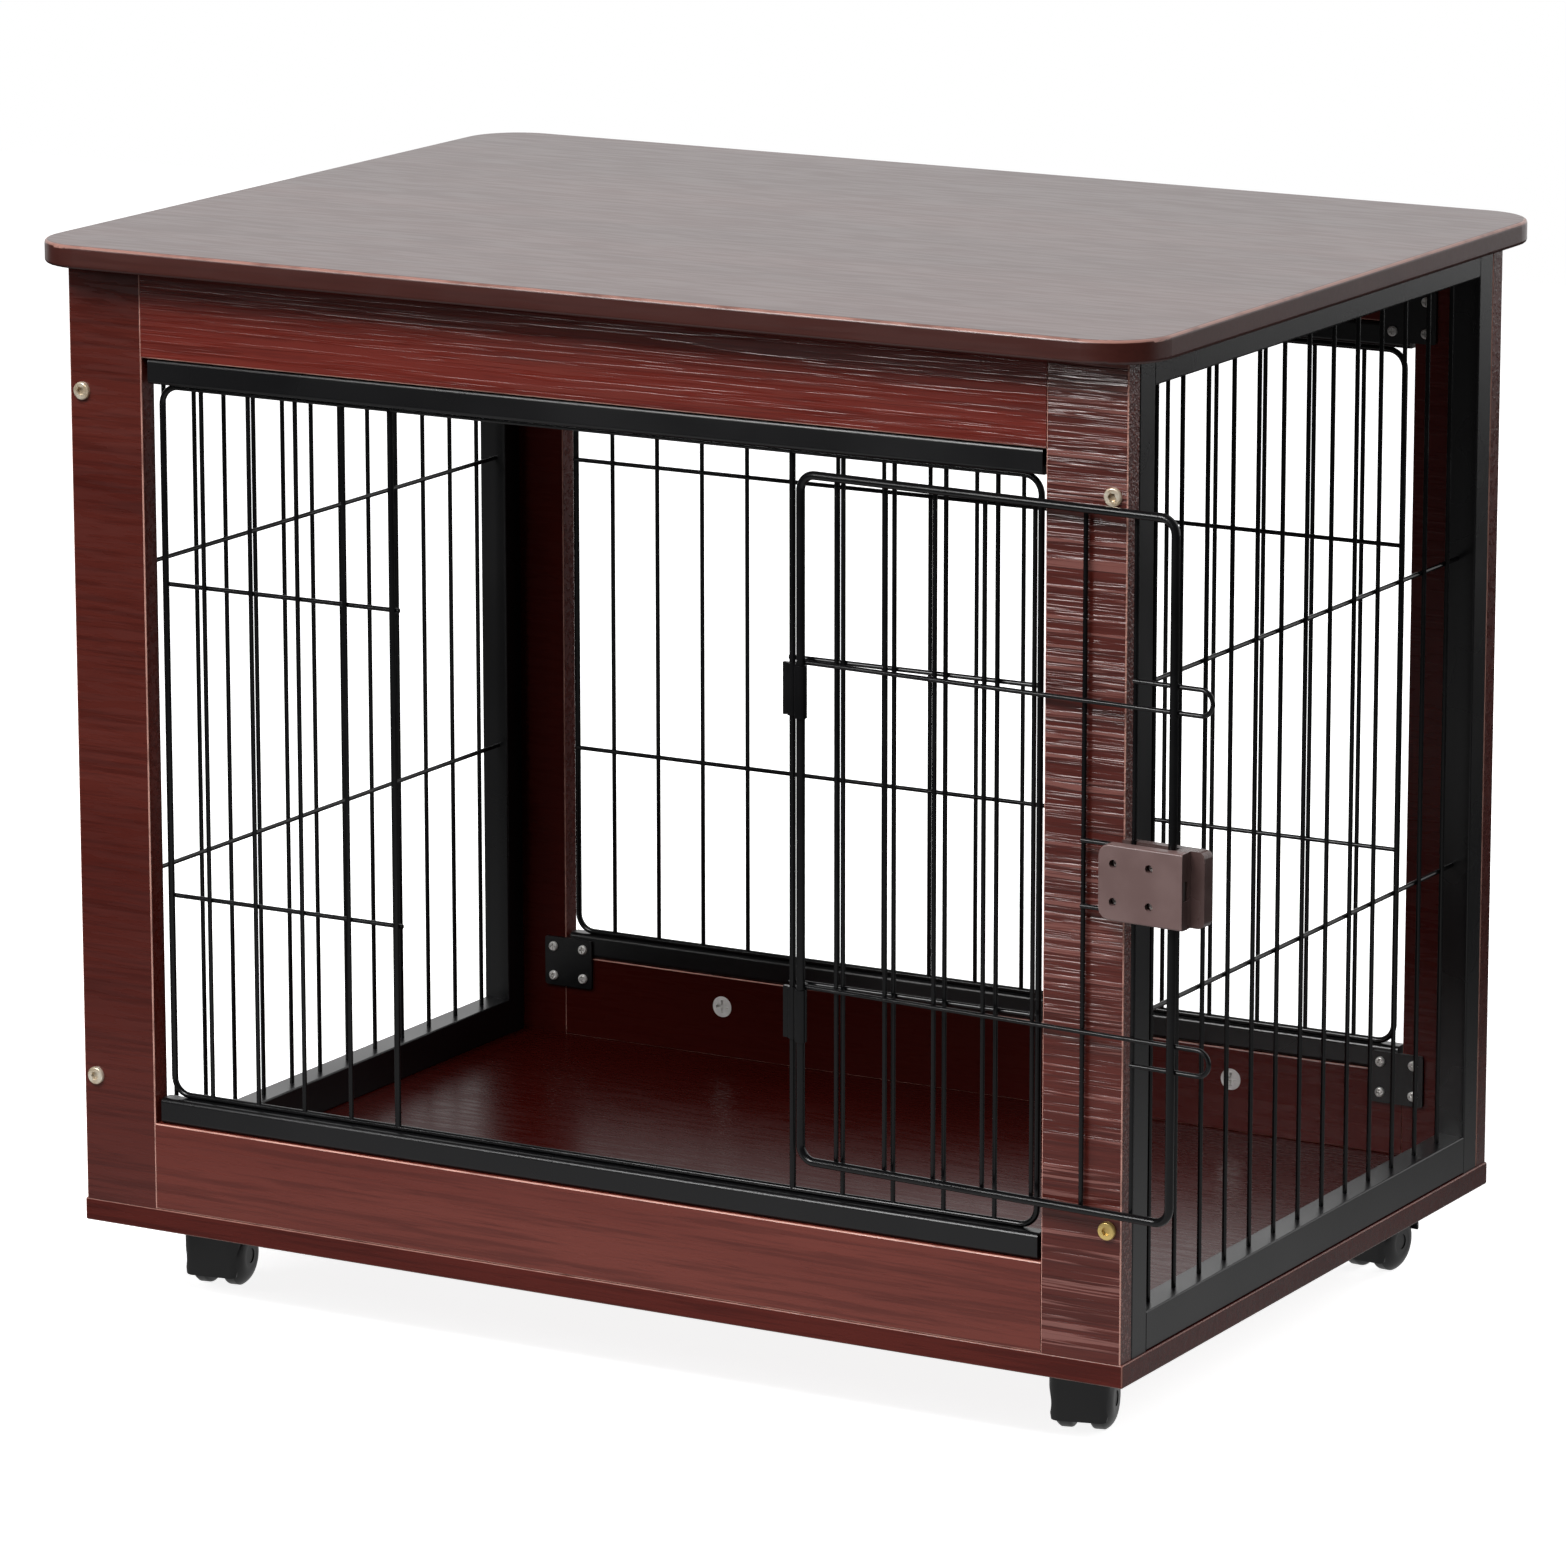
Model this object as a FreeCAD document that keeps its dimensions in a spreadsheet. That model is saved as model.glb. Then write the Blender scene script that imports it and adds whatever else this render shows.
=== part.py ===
import FreeCAD, Part
import Sketcher
import math
import os

# Dog crate that doubles as an end table: wooden boards and frames, steel side frames, welded wire panels, a
# wire door with a sliding latch, and four swivel casters. Millimetres, X to the right, Y to the back, Z up
# from the floor. The door is modelled folded back beside the front frame, which is its rest position.
# "Base" heights are counted from the underside of the base board.

DIMENSIONS = {
    # boards
    "board": 15, "edge_round": 1.2,
    "top_length": 800, "top_depth": 578, "top_corner": 40, "top_edge_round": 2.5,
    "base_length": 763, "base_depth": 530,
    "frame_length": 760, "frame_height": 619, "stile_width": 55, "rail_height": 57.5,
    # flat bars above and below the front and back wire panels
    "bar_length": 643, "bar_depth": 13, "bar_height": 17, "bar_round": 3,
    # side frames of square tube
    "tube": 20, "low_tube_height": 25, "tube_wall": 1.5,
    # welded wire
    "loop_wire": 4, "grid_wire": 3, "door_wire": 5.5, "weld_overlap": 0.4,
    "loop_length": 633, "loop_height": 466.4, "loop_base": 91.3, "loop_bend": 12,
    "panel_inset": 11, "door_half_gap": 145, "front_pitch": 35.5, "back_pitch": 35.875,
    "side_pitch": 34.8, "upper_cross": 428.5, "lower_cross": 223.5, "cross_overhang": 3.5,
    # door, measured from the hinge axis
    "door_near": 9.2, "door_far": 274.2, "door_low": 112.4, "door_high": 544.7, "door_bend": 10,
    "door_offset": 5, "open_tilt": 3.8, "footprint_shift": 22.6,
    "door_grid_first": 32.5, "door_grid_pitch": 35.4,
    "hook_reach": 299.5, "hook_gap": 16, "upper_hook": 427.5, "lower_hook": 223,
    "hinge_play": 0.06, "clip_wall": 1.2, "clip_height": 32.8, "clip_ear": 3.2,
    # latch
    "latch_height": 47, "latch_middle": 321.5, "plate_near": 228.5, "plate_far": 287, "plate_corner": 8,
    "housing_near": 237, "housing_far": 296, "housing_end_round": 4.5, "housing_edge_round": 2.4,
    "bolt_thickness": 3.5, "bolt_height": 12, "latch_wire_half": 20.3, "latch_head_radius": 2.3,
    # casters
    "caster_height": 54, "swivel_x": 321.7, "swivel_y": 203.9, "trail": 15, "wheel_radius": 20,
    "wheel_width": 14, "wheel_inner": 5.6, "hood_width": 39.5, "hood_barrel": 90, "hood_side_round": 6.5,
    "axle_radius": 3, "pin_radius": 4, "caster_plate": 40, "caster_plate_thickness": 2.5,
    "caster_plate_corner": 3, "running_play": 0.05,
    # fasteners
    "bolt_x": 370.5, "low_bolt": 99, "high_bolt": 551.5, "bolt_radius": 3, "bolt_head_radius": 5.8,
    "corner_plate_length": 38, "corner_plate_height": 35, "corner_plate_thickness": 2, "screw_radius": 1.5,
    "screw_head_radius": 3.4, "screw_hole_play": 0.15, "cam_radius": 7.5, "cam_depth": 12.5,
    "cam_x": 198, "cam_rise": 36, "dowel_radius": 3,
}

# Swivel angle of each caster about Z, as the crate was last pushed, in degrees.
CASTERS = {
    "front_left": (-1, -1, 9.5),
    "front_right": (1, -1, 15.0),
    "back_left": (-1, 1, 8.0),
    "back_right": (1, 1, -4.4),
}

X_AXIS = FreeCAD.Vector(1, 0, 0)
Y_AXIS = FreeCAD.Vector(0, 1, 0)
Z_AXIS = FreeCAD.Vector(0, 0, 1)

PILOT = "Dims.screw_radius + Dims.screw_hole_play"

doc = FreeCAD.newDocument("wire_dog_crate")
sheet = doc.addObject("Spreadsheet::Sheet", "Dims")
for row, (alias, number) in enumerate(DIMENSIONS.items(), start=1):
    sheet.set(f"A{row}", alias)
    sheet.set(f"B{row}", str(number))
    sheet.setAlias(f"B{row}", alias)
doc.recompute()

pieces = []


def value(expression):
    """The number that a spreadsheet expression gives."""
    result = sheet.evalExpression(expression)
    return float(getattr(result, "Value", result))


BASE = value("Dims.caster_height")
BASE_TOP = BASE + value("Dims.board")
FRAME_TOP = BASE_TOP + value("Dims.frame_height")
HALF_DEPTH = value("Dims.base_depth / 2")
PANEL_Y = value("Dims.base_depth / 2 - Dims.panel_inset")
HINGE = FreeCAD.Vector(value("Dims.door_half_gap"), -PANEL_Y, 0)

# The open door reaches past the table top's right end, so the middle of the whole footprint, which is the
# origin, lies to the right of the crate's own middle.
ORIGIN = FreeCAD.Vector(value("Dims.footprint_shift"), 0, 0)
DOOR_PLACE = FreeCAD.Placement(HINGE, FreeCAD.Rotation(Z_AXIS, -value("Dims.open_tilt")))


def bind(thing, **sizes):
    for name, expression in sizes.items():
        thing.setExpression(name, expression)


def block(lengths, centre):
    """A box whose three lengths are expressions, centred on a point."""
    thing = doc.addObject("Part::Box", "block")
    bind(thing, Length=lengths[0], Width=lengths[1], Height=lengths[2])
    half = FreeCAD.Vector(*[value(length) / 2 for length in lengths])
    thing.Placement.Base = FreeCAD.Vector(*centre) - half
    return thing


def span_block(low, high):
    """A box between two opposite corners."""
    thing = doc.addObject("Part::Box", "span_block")
    thing.Length, thing.Width, thing.Height = [abs(b - a) for a, b in zip(low, high)]
    thing.Placement.Base = FreeCAD.Vector(*[min(a, b) for a, b in zip(low, high)])
    return thing


def rod(radius, length, middle, along=Z_AXIS):
    """A round rod of expression sizes, centred on a point and pointing along an axis."""
    thing = doc.addObject("Part::Cylinder", "rod")
    bind(thing, Radius=radius, Height=length)
    turn = FreeCAD.Rotation(Z_AXIS, along)
    middle = FreeCAD.Vector(*middle)
    thing.Placement = FreeCAD.Placement(middle - along * (value(length) / 2), turn)
    return thing


def ring_part(bend, radius, centre, start_quarter, sweep):
    """Part of a ring of wire that stands in the XZ plane; quarter 0 starts at +X and turns towards +Z."""
    thing = doc.addObject("Part::Torus", "ring_part")
    bind(thing, Radius1=bend, Radius2=radius)
    thing.Angle3 = sweep
    upright = FreeCAD.Rotation(X_AXIS, 90)
    turn = FreeCAD.Rotation(Y_AXIS, -90 * start_quarter)
    thing.Placement = FreeCAD.Placement(FreeCAD.Vector(*centre), turn * upright)
    return thing


def wire_loop(length, height, bend, radius, centre):
    """A closed rectangle of wire with round corners, standing in the XZ plane."""
    x, y, z = centre
    side = value(length) / 2
    rise = value(height) / 2
    turn = value(bend)
    parts = []
    for sign in (-1, 1):
        parts.append(rod(radius, f"{length} - 2 * {bend}", (x, y, z + sign * rise), X_AXIS))
        parts.append(rod(radius, f"{height} - 2 * {bend}", (x + sign * side, y, z)))
    for quarter, (across, up) in enumerate([(1, 1), (-1, 1), (-1, -1), (1, -1)]):
        middle = (x + across * (side - turn), y, z + up * (rise - turn))
        parts.append(ring_part(bend, radius, middle, quarter, 90))
    return parts


def compound(things):
    group = doc.addObject("Part::Compound", "group")
    group.Links = things
    return group


def fuse(things):
    whole = doc.addObject("Part::MultiFuse", "fuse")
    whole.Shapes = things
    return whole


def cut(base, tools):
    result = doc.addObject("Part::Cut", "cut")
    result.Base = base
    result.Tool = tools[0] if len(tools) == 1 else compound(tools)
    return result


def soften(base, radius, wanted):
    """Round the edges of a piece for which wanted(edge) is true."""
    doc.recompute()
    result = doc.addObject("Part::Fillet", "soften")
    result.Base = base
    size = value(radius)
    edges = enumerate(base.Shape.Edges, start=1)
    result.Edges = [(number, size, size) for number, edge in edges if wanted(edge)]
    return result


def runs_along(axis):
    """A test for straight edges that run along an axis."""
    def test(edge):
        if edge.Curve.TypeId != "Part::GeomLine":
            return False
        direction = edge.tangentAt(edge.FirstParameter)
        return abs(direction.dot(axis)) > 0.999
    return test


def is_straight(edge):
    return edge.Curve.TypeId == "Part::GeomLine"


def finish(name, thing, place=FreeCAD.Placement()):
    """Name a sub-part and set it in the crate's frame."""
    thing.Label = name
    shift = FreeCAD.Placement(-ORIGIN, FreeCAD.Rotation())
    thing.Placement = shift * place * thing.Placement
    pieces.append(thing)


def centred_rectangle(sketch, length, width):
    """A rectangle centred on the sketch's origin, its sides bound to two expressions."""
    half_x = value(length) / 2
    half_y = value(width) / 2
    corners = [(-half_x, -half_y), (half_x, -half_y), (half_x, half_y), (-half_x, half_y)]
    points = [FreeCAD.Vector(x, y, 0) for x, y in corners]
    for start, end in zip(points, points[1:] + points[:1]):
        sketch.addGeometry(Part.LineSegment(start, end), False)
    for first in range(4):
        sketch.addConstraint(Sketcher.Constraint("Coincident", first, 2, (first + 1) % 4, 1))
    for side, rule in enumerate(("Horizontal", "Vertical", "Horizontal", "Vertical")):
        sketch.addConstraint(Sketcher.Constraint(rule, side))
    sketch.addConstraint(Sketcher.Constraint("Symmetric", 0, 1, 1, 2, -1, 1))
    across = sketch.addConstraint(Sketcher.Constraint("DistanceX", 0, 1, 0, 2, 2 * half_x))
    along = sketch.addConstraint(Sketcher.Constraint("DistanceY", 1, 1, 1, 2, 2 * half_y))
    sketch.setExpression(f"Constraints[{across}]", length)
    sketch.setExpression(f"Constraints[{along}]", width)


def new_sketch(body, role):
    sketch = body.newObject("Sketcher::SketchObject", "sketch")
    plane = [feature for feature in body.Origin.OriginFeatures if feature.Role == role][0]
    sketch.AttachmentSupport = [(plane, "")]
    sketch.MapMode = "FlatFace"
    return sketch


def padded_body(draw, role, thickness):
    """A PartDesign body with one pad, centred on its sketch plane."""
    body = doc.addObject("PartDesign::Body", "body")
    sketch = new_sketch(body, role)
    draw(sketch)
    pad = body.newObject("PartDesign::Pad", "pad")
    pad.Profile = sketch
    pad.Midplane = True
    bind(pad, Length=thickness)
    doc.recompute()
    return body, pad


def fillet_body(body, base, radius, wanted):
    """Add a PartDesign fillet on the edges for which wanted(edge) is true."""
    names = [f"Edge{number}" for number, edge in enumerate(base.Shape.Edges, start=1) if wanted(edge)]
    fillet = body.newObject("PartDesign::Fillet", "fillet")
    fillet.Base = (base, names)
    bind(fillet, Radius=radius)
    doc.recompute()
    return fillet


# ---------------------------------------------------------------- table top and base board

DOWEL_BURIED = 10
DOWEL_LENGTH = value("Dims.cam_rise - Dims.cam_radius") + DOWEL_BURIED


def dowels(extra, end, low):
    """One rail's two dowels, which its cams pull on, or with some extra radius the holes they stand in."""
    reach = DOWEL_LENGTH / 2 - DOWEL_BURIED
    y = end * (HALF_DEPTH - value("Dims.board / 2"))
    z = BASE_TOP + reach if low else FRAME_TOP - reach
    across = value("Dims.cam_x")
    radius = f"Dims.dowel_radius + {extra}"
    return [rod(radius, f"{DOWEL_LENGTH}", (side * across, y, z)) for side in (-1, 1)]


def table_top():
    def draw(sketch):
        centred_rectangle(sketch, "Dims.top_length", "Dims.top_depth")

    body, pad = padded_body(draw, "XY_Plane", "Dims.board")
    corners = fillet_body(body, pad, "Dims.top_corner", runs_along(Z_AXIS))
    rim = fillet_body(body, corners, "Dims.top_edge_round", lambda edge: not runs_along(Z_AXIS)(edge))
    body.Tip = rim
    body.Placement.Base = FreeCAD.Vector(0, 0, FRAME_TOP + value("Dims.board / 2"))
    finish("table_top", cut(body, dowels(0.1, -1, False) + dowels(0.1, 1, False)))


def swivel_point(side, end):
    return FreeCAD.Vector(side * value("Dims.swivel_x"), end * value("Dims.swivel_y"), 0)


CASTER_SCREW_LENGTH = 14


def caster_screw_offsets():
    """Where a caster's screws stand, seen from its swivel axis."""
    offset = value("Dims.caster_plate / 2") - 5.5
    return [(across * offset, along * offset) for across in (-1, 1) for along in (-1, 1)]


def base_board():
    middle_z = BASE + value("Dims.board / 2")
    board = block(("Dims.base_length", "Dims.base_depth", "Dims.board"), (0, 0, middle_z))
    rounded = soften(board, "Dims.edge_round", is_straight)
    holes = dowels(0.1, -1, True) + dowels(0.1, 1, True)
    depth = CASTER_SCREW_LENGTH - value("Dims.caster_plate_thickness")
    for side, end, _ in CASTERS.values():
        for x, y in caster_screw_offsets():
            middle = swivel_point(side, end) + FreeCAD.Vector(x, y, BASE + depth / 2)
            holes.append(rod(PILOT, f"{depth}", middle))
    finish("base_board", cut(rounded, holes))


# ---------------------------------------------------------------- front and back wooden frames

def corner_plate_places(end):
    """Centre of each corner plate of one frame: x, y and z."""
    inner_face = end * (HALF_DEPTH - value("Dims.board"))
    y = inner_face - end * value("Dims.corner_plate_thickness / 2")
    x = value("Dims.frame_length / 2 - Dims.stile_width") - 3
    low = BASE + 68
    high = FRAME_TOP - value("Dims.rail_height") + 5
    return [(side * x, y, z) for side in (-1, 1) for z in (low, high)]


def plate_screw_places(end):
    """Centre of each corner plate screw on its plate's visible face."""
    across = value("Dims.corner_plate_length / 2") - 7
    rise = value("Dims.corner_plate_height / 2") - 7
    places = []
    for x, y, z in corner_plate_places(end):
        face = y - end * value("Dims.corner_plate_thickness / 2")
        for sign_x in (-1, 1):
            for sign_z in (-1, 1):
                places.append((x + sign_x * across, face, z + sign_z * rise))
    return places


SCREW_LENGTH = 11


def screw_shanks(end, radius, wanted):
    """Rods for the corner plate screws whose place passes a test."""
    middle_y = end * SCREW_LENGTH / 2
    places = [place for place in plate_screw_places(end) if wanted(*place)]
    return [rod(radius, f"{SCREW_LENGTH}", (x, y + middle_y, z), Y_AXIS) for x, y, z in places]


def frame_bolt_places(end):
    y = end * HALF_DEPTH
    heights = (BASE + value("Dims.low_bolt"), BASE + value("Dims.high_bolt"))
    return [(side * value("Dims.bolt_x"), y, z) for side in (-1, 1) for z in heights]


def bolt_holes(end, wanted):
    """Clearance holes for the frame bolts, through the stile and the tube wall behind it."""
    reach = 40
    places = [place for place in frame_bolt_places(end) if wanted(*place)]
    return [rod("Dims.bolt_radius + 0.2", f"{reach}", place, Y_AXIS) for place in places]


def stile(end, side):
    edge = value("Dims.frame_length / 2")
    x = side * (edge - value("Dims.stile_width / 2"))
    y = end * (HALF_DEPTH - value("Dims.board / 2"))
    z = (BASE_TOP + FRAME_TOP) / 2
    board = block(("Dims.stile_width", "Dims.board", "Dims.frame_height"), (x, y, z))
    rounded = soften(board, "Dims.edge_round", runs_along(Z_AXIS))

    def on_stile(px, py, pz):
        return side * px > edge - value("Dims.stile_width")

    return cut(rounded, screw_shanks(end, PILOT, on_stile) + bolt_holes(end, on_stile))


def cam_places(end):
    """Centre of each cam lock's bore on a rail's inner face."""
    y = end * (HALF_DEPTH - value("Dims.board"))
    rise = value("Dims.cam_rise")
    heights = (BASE_TOP + rise, FRAME_TOP - rise)
    return [(side * value("Dims.cam_x"), y, z) for side in (-1, 1) for z in heights]


def rail(end, low):
    """The bottom rail if low is true, otherwise the top rail."""
    rise = value("Dims.rail_height / 2")
    z = BASE_TOP + rise if low else FRAME_TOP - rise
    y = end * (HALF_DEPTH - value("Dims.board / 2"))
    length = "Dims.frame_length - 2 * Dims.stile_width"
    board = block((length, "Dims.board", "Dims.rail_height"), (0, y, z))
    rounded = soften(board, "Dims.edge_round", runs_along(X_AXIS))

    def on_rail(px, py, pz):
        return abs(px) < value(length) / 2 and abs(pz - z) < rise

    holes = screw_shanks(end, PILOT, on_rail)
    middle = end * value("Dims.cam_depth / 2")
    for px, py, pz in cam_places(end):
        if on_rail(px, py, pz):
            holes.append(rod("Dims.cam_radius", "Dims.cam_depth", (px, py + middle, pz), Y_AXIS))
    return cut(rounded, [fuse(holes + dowels(0.3, end, low))])


def flat_bar(end, low):
    """The steel bar between a rail and the wire panel."""
    rail_edge = value("Dims.rail_height")
    rise = value("Dims.bar_height / 2")
    z = BASE_TOP + rail_edge + rise if low else FRAME_TOP - rail_edge - rise
    y = end * (HALF_DEPTH - value("Dims.board") + value("Dims.bar_depth / 2"))
    bar = block(("Dims.bar_length", "Dims.bar_depth", "Dims.bar_height"), (0, y, z))
    rounded = soften(bar, "Dims.bar_round", runs_along(X_AXIS))

    def on_bar(px, py, pz):
        return abs(px) < value("Dims.bar_length / 2") and abs(pz - z) < rise

    return cut(rounded, screw_shanks(end, PILOT, on_bar))


def wooden_frame(prefix, end):
    finish(f"{prefix}_left_stile", stile(end, -1))
    finish(f"{prefix}_right_stile", stile(end, 1))
    finish(f"{prefix}_top_rail", rail(end, False))
    finish(f"{prefix}_bottom_rail", rail(end, True))
    finish(f"{prefix}_top_bar", flat_bar(end, False))
    finish(f"{prefix}_bottom_bar", flat_bar(end, True))


# ---------------------------------------------------------------- wire panels

LOOP_Z = BASE + value("Dims.loop_base + Dims.loop_height / 2")
LOOP_RADIUS = "Dims.loop_wire / 2"
GRID_RADIUS = "Dims.grid_wire / 2"
CROSS_OFFSET = value("Dims.grid_wire - Dims.weld_overlap")
CROSS_HEIGHTS = (BASE + value("Dims.upper_cross"), BASE + value("Dims.lower_cross"))


def panel_loop(y):
    return wire_loop("Dims.loop_length", "Dims.loop_height", "Dims.loop_bend", LOOP_RADIUS, (0, y, LOOP_Z))


def front_wire_panel():
    """Loop with a thick upright each side of the doorway and a grid in each part beside it."""
    y = -PANEL_Y
    wires = panel_loop(y)
    gap = value("Dims.door_half_gap")
    pitch = value("Dims.front_pitch")
    cross_length = "Dims.loop_length / 2 - Dims.door_half_gap + Dims.cross_overhang"
    for side in (-1, 1):
        wires.append(rod(LOOP_RADIUS, "Dims.loop_height", (side * gap, y, LOOP_Z)))
        for step in range(1, 5):
            wires.append(rod(GRID_RADIUS, "Dims.loop_height", (side * (gap + step * pitch), y, LOOP_Z)))
        middle = side * (value("Dims.loop_length / 2") - value(cross_length) / 2)
        for z in CROSS_HEIGHTS:
            wires.append(rod(GRID_RADIUS, cross_length, (middle, y + CROSS_OFFSET, z), X_AXIS))
    finish("front_wire_panel", fuse(wires))


def back_wire_panel():
    y = PANEL_Y
    wires = panel_loop(y)
    pitch = value("Dims.back_pitch")
    for step in range(-8, 9):
        wires.append(rod(GRID_RADIUS, "Dims.loop_height", (step * pitch, y, LOOP_Z)))
    for z in CROSS_HEIGHTS:
        wires.append(rod(GRID_RADIUS, "Dims.loop_length", (0, y - CROSS_OFFSET, z), X_AXIS))
    finish("back_wire_panel", fuse(wires))


# ---------------------------------------------------------------- steel side frames

def tube_piece(lengths, centre, hollow_along):
    """A rectangular tube, open at both ends along one axis."""
    outer = block(lengths, centre)
    rounded = soften(outer, "Dims.edge_round", runs_along(hollow_along))
    walls = [" - 2 * Dims.tube_wall"] * 3
    open_axis = [X_AXIS, Y_AXIS, Z_AXIS].index(hollow_along)
    walls[open_axis] = ""
    inner = block([length + wall for length, wall in zip(lengths, walls)], centre)
    return cut(rounded, [inner])


def side_frame(prefix, side):
    x = side * value("Dims.frame_length / 2 - Dims.tube / 2")
    post_y = HALF_DEPTH - value("Dims.board + Dims.tube / 2")
    middle_z = (BASE_TOP + FRAME_TOP) / 2
    post_size = ("Dims.tube", "Dims.tube", "Dims.frame_height")
    for name, end in (("front", -1), ("back", 1)):
        post = tube_piece(post_size, (x, end * post_y, middle_z), Z_AXIS)

        def near_post(px, py, pz):
            return side * px > 0

        finish(f"{prefix}_{name}_post", cut(post, bolt_holes(end, near_post)))
    bar_length = "Dims.base_depth - 2 * Dims.board - 2 * Dims.tube"
    top_z = FRAME_TOP - value("Dims.tube / 2")
    low_z = BASE_TOP + value("Dims.low_tube_height / 2")
    finish(f"{prefix}_top_bar", tube_piece(("Dims.tube", bar_length, "Dims.tube"), (x, 0, top_z), Y_AXIS))
    low_size = ("Dims.tube", bar_length, "Dims.low_tube_height")
    finish(f"{prefix}_bottom_bar", tube_piece(low_size, (x, 0, low_z), Y_AXIS))

    wire_length = "Dims.frame_height - Dims.tube - Dims.low_tube_height"
    wire_z = BASE_TOP + value("Dims.low_tube_height") + value(wire_length) / 2
    wires = []
    for step in range(-6, 7):
        wires.append(rod(GRID_RADIUS, wire_length, (x, step * value("Dims.side_pitch"), wire_z)))
    for z in CROSS_HEIGHTS:
        wires.append(rod(GRID_RADIUS, bar_length, (x - side * CROSS_OFFSET, 0, z), Y_AXIS))
    finish(f"{prefix}_wire_grid", fuse(wires))


# ---------------------------------------------------------------- door
# Door pieces are drawn with the hinge axis at x = 0, y = 0, the door running along +X and its inner face,
# which shows when the door is folded back, towards -Y. "Depth" is the distance from the door's plane
# towards -Y.

def at_depth(depth):
    return -(value("Dims.door_offset") + depth)


CROSS_DEPTH = -2.0
UPRIGHT_DEPTH = CROSS_DEPTH - value("Dims.grid_wire") + 0.6


def latch_cross_heights():
    middle = BASE + value("Dims.latch_middle")
    half = value("Dims.latch_wire_half")
    return (middle + half, middle - half)


def door_grid_x(number):
    return value("Dims.door_grid_first") + number * value("Dims.door_grid_pitch")


def door_wire_panel():
    near = value("Dims.door_near")
    far = value("Dims.door_far")
    middle_z = BASE + value("(Dims.door_low + Dims.door_high) / 2")
    wires = wire_loop("Dims.door_far - Dims.door_near", "Dims.door_high - Dims.door_low", "Dims.door_bend",
                      "Dims.door_wire / 2", ((near + far) / 2, at_depth(0), middle_z))
    for number in range(7):
        place = (door_grid_x(number), at_depth(UPRIGHT_DEPTH), middle_z)
        wires.append(rod(GRID_RADIUS, "Dims.door_high - Dims.door_low + Dims.grid_wire", place))
    hook_bend = "Dims.hook_gap / 2"
    hook_x = value("Dims.hook_reach") - value(hook_bend)
    return_start = door_grid_x(6)
    y = at_depth(CROSS_DEPTH)
    for height, upward in (("Dims.upper_hook", 1), ("Dims.lower_hook", -1)):
        z = BASE + value(height)
        other_z = z + upward * value("Dims.hook_gap")
        long_leg = f"{hook_x - near}"
        short_leg = f"{hook_x - return_start}"
        wires.append(rod(GRID_RADIUS, long_leg, ((hook_x + near) / 2, y, z), X_AXIS))
        wires.append(rod(GRID_RADIUS, short_leg, ((hook_x + return_start) / 2, y, other_z), X_AXIS))
        wires.append(ring_part(hook_bend, GRID_RADIUS, (hook_x, y, (z + other_z) / 2), 3, 180))
    start = door_grid_x(5)
    for z in latch_cross_heights():
        wires.append(rod(GRID_RADIUS, f"{far - start}", ((start + far) / 2, y, z), X_AXIS))
    finish("door_wire_panel", fuse(wires), DOOR_PLACE)


def hinge_clip(top):
    """Sheet sleeve round the fixed upright, wrapped on round the door's own upright, with a pinched ear."""
    height = "Dims.clip_height"
    z = top - value(height) / 2
    wall = value("Dims.clip_wall")
    axle = "Dims.loop_wire / 2 + Dims.hinge_play"
    frame_wire = "Dims.door_wire / 2"
    near = value("Dims.door_near")
    frame_y = at_depth(0)
    sleeve = rod(f"{axle} + Dims.clip_wall", height, (0, 0, z))
    wrap = rod(f"{frame_wire} + Dims.clip_wall", height, (near, frame_y, z))
    reach = math.hypot(near, frame_y)
    web = block((f"{reach}", "Dims.clip_wall * 2", height), (0, 0, z))
    turn = FreeCAD.Rotation(Z_AXIS, math.degrees(math.atan2(frame_y, near)))
    corner = FreeCAD.Vector(-reach / 2, -wall, -value(height) / 2)
    web.Placement = FreeCAD.Placement(FreeCAD.Vector(near / 2, frame_y / 2, z) + turn.multVec(corner), turn)
    outer = value(axle) + wall
    ear_reach = outer + value("Dims.clip_ear")
    ear = block((f"{ear_reach}", "Dims.clip_wall * 2", height), (-ear_reach / 2, 0, z))
    shell = fuse([sleeve, wrap, web, ear])
    bores = [
        rod(axle, f"{height} * 2", (0, 0, z)),
        rod(frame_wire, f"{height} * 2", (near, frame_y, z)),
    ]
    return cut(shell, bores)


def hinge_clips():
    below_cross = value("Dims.grid_wire / 2") + 0.3
    tops = [BASE + value(height) - below_cross for height in ("Dims.upper_hook", "Dims.lower_hook")]
    finish("hinge_clips", compound([hinge_clip(top) for top in tops]), DOOR_PLACE)


# ---------------------------------------------------------------- latch
# The plate lies on the inner side of the door wires and the housing on the outer side, with the wires
# between. The housing's lip and the plate's end leave a mouth for the thick upright beside the doorway. The
# bolt slides across that mouth behind the upright. Numbers named BACK, FRONT, INNER and OUTER are depths, and
# NEAR, FAR, TIP and WALL are distances from the hinge axis.

LATCH_Z = BASE + value("Dims.latch_middle")
PLATE_BACK = 3.6
PLATE_FRONT = 10.6
SLAB_INNER = -3.8
SLAB_OUTER = -12.0
LIP_INNER = -0.6
MOUTH_WALL = 286.5
BOLT_BACK = 5.1
BOLT_NEAR = 250.0
BOLT_TIP = 286.0
BOLT_TRAVEL = 8.5
STEM_NEAR = 253.0
STEM_FAR = 259.0
STEM_HALF_HEIGHT = 4.0
KNOB_BACK = SLAB_OUTER - 0.4
KNOB_FRONT = KNOB_BACK - 5.0
KNOB_HALF_HEIGHT = 9.0
SOCKET_DEPTH = 5.0
LATCH_SCREWS = [(x, LATCH_Z + rise) for x in (239.0, 264.0) for rise in (-11.7, 11.7)]
SCREW_PLAY = 0.2


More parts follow.
